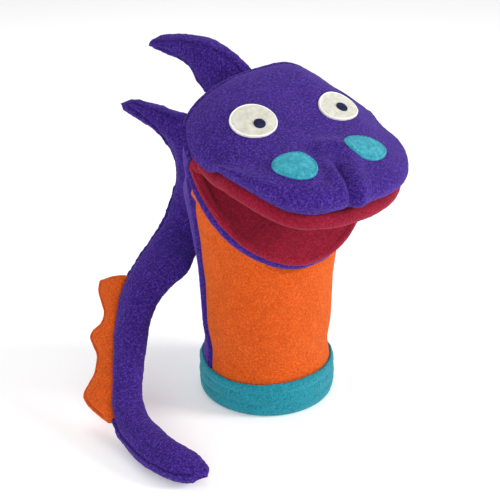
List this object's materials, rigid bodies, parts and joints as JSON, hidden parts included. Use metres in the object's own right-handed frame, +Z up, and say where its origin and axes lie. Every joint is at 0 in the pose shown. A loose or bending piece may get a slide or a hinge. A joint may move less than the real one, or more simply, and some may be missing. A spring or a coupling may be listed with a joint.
{
  "type": "moving mouth hand puppet",
  "caption": "Soft fleece dragon hand puppet with a hinged mouth, sleeve with folded cuff, felt eyes, two back spikes and a curled stuffed tail.",
  "frame": {"origin": "centre of the arm opening at the cuff's lower rim, on the surface the puppet stands on", "axes": "+Z up the sleeve, -Y the way the face looks, -X the puppet's own right"},
  "size_m": [0.2047, 0.2247, 0.2517],
  "materials": {
    "turquoise_fleece": "matte",
    "turquoise_thread": "matte",
    "orange_fleece": "matte",
    "purple_fleece": "matte",
    "purple_thread": "matte",
    "red_fleece": "matte",
    "mouth_board": "matte",
    "pocket_lining": "matte",
    "polyester_wadding": "matte",
    "cream_felt": "matte",
    "navy_felt": "matte",
    "turquoise_felt": "matte"
  },
  "bodies": {
    "sleeve": {"cuff_band": "turquoise_fleece", "cuff_stitching": "turquoise_thread", "belly_panel": "orange_fleece", "back_panel": "purple_fleece"},
    "jaw": {"lower_palate": "red_fleece", "lower_lip_band": "purple_fleece", "lower_mouth_board": "mouth_board", "thumb_pocket": "pocket_lining"},
    "head": {"upper_palate": "red_fleece", "upper_mouth_board": "mouth_board", "finger_pocket": "pocket_lining", "face_panel": "purple_fleece", "head_back_panel": "purple_fleece", "face_wadding": "polyester_wadding", "eye_right": "cream_felt", "eye_left": "cream_felt", "pupil_right": "navy_felt", "pupil_left": "navy_felt", "nostril_right": "turquoise_felt", "nostril_left": "turquoise_felt", "snout_tack_stitches": "purple_thread"},
    "upper_spike": {"upper_spike_right_layer": "purple_fleece", "upper_spike_left_layer": "purple_fleece", "upper_spike_stuffing": "polyester_wadding"},
    "fin": {"dorsal_fin_right_layer": "purple_fleece", "dorsal_fin_left_layer": "purple_fleece", "dorsal_fin_stuffing": "polyester_wadding", "tail_base_right_layer": "purple_fleece", "tail_base_left_layer": "purple_fleece", "tail_base_stuffing": "polyester_wadding"},
    "lower_spike": {"lower_spike_right_layer": "purple_fleece", "lower_spike_left_layer": "purple_fleece", "lower_spike_stuffing": "polyester_wadding"},
    "tail_middle": {"tail_middle_right_layer": "purple_fleece", "tail_middle_left_layer": "purple_fleece", "tail_middle_stuffing": "polyester_wadding", "crest_right_layer": "orange_fleece", "crest_left_layer": "orange_fleece", "crest_stuffing": "polyester_wadding"},
    "tail_tip": {"tail_tip_right_layer": "purple_fleece", "tail_tip_left_layer": "purple_fleece", "tail_tip_stuffing": "polyester_wadding"}
  },
  "joints": [
    {"name": "jaw_drop", "type": "hinge", "parent": "sleeve", "child": "jaw", "pos_m": [0, -0.016, 0.191], "axis": [1, 0, 0], "range_deg": [-20, 15]},
    {"name": "head_nod", "type": "hinge", "parent": "sleeve", "child": "head", "pos_m": [0, -0.016, 0.191], "axis": [1, 0, 0], "range_deg": [-12, 20]},
    {"name": "upper_spike_flop", "type": "hinge", "parent": "head", "child": "upper_spike", "pos_m": [0, 0.037, 0.217], "axis": [0.1991, -0.4646, 0.8628], "range_deg": [-25, 25], "stiffness_Nm_per_rad": 0.08},
    {"name": "fin_swing", "type": "hinge", "parent": "sleeve", "child": "fin", "pos_m": [0, 0.049, 0.15], "axis": [0, 0, 1], "range_deg": [-70, 4]},
    {"name": "lower_spike_flop", "type": "hinge", "parent": "fin", "child": "lower_spike", "pos_m": [-0.0224, 0.0797, 0.1745], "axis": [0.3172, -0.4493, 0.8352], "range_deg": [-25, 25], "stiffness_Nm_per_rad": 0.08},
    {"name": "tail_lift", "type": "hinge", "parent": "fin", "child": "tail_middle", "pos_m": [-0.0767, 0.0498, 0.0734], "axis": [-0.1918, 0.9729, 0.1288], "range_deg": [0, 30]},
    {"name": "tail_tip_lift", "type": "hinge", "parent": "tail_middle", "child": "tail_tip", "pos_m": [-0.1169, -0.0036, 0.021], "axis": [-0.7482, 0.3253, -0.5783], "range_deg": [0, 30]}
  ]
}
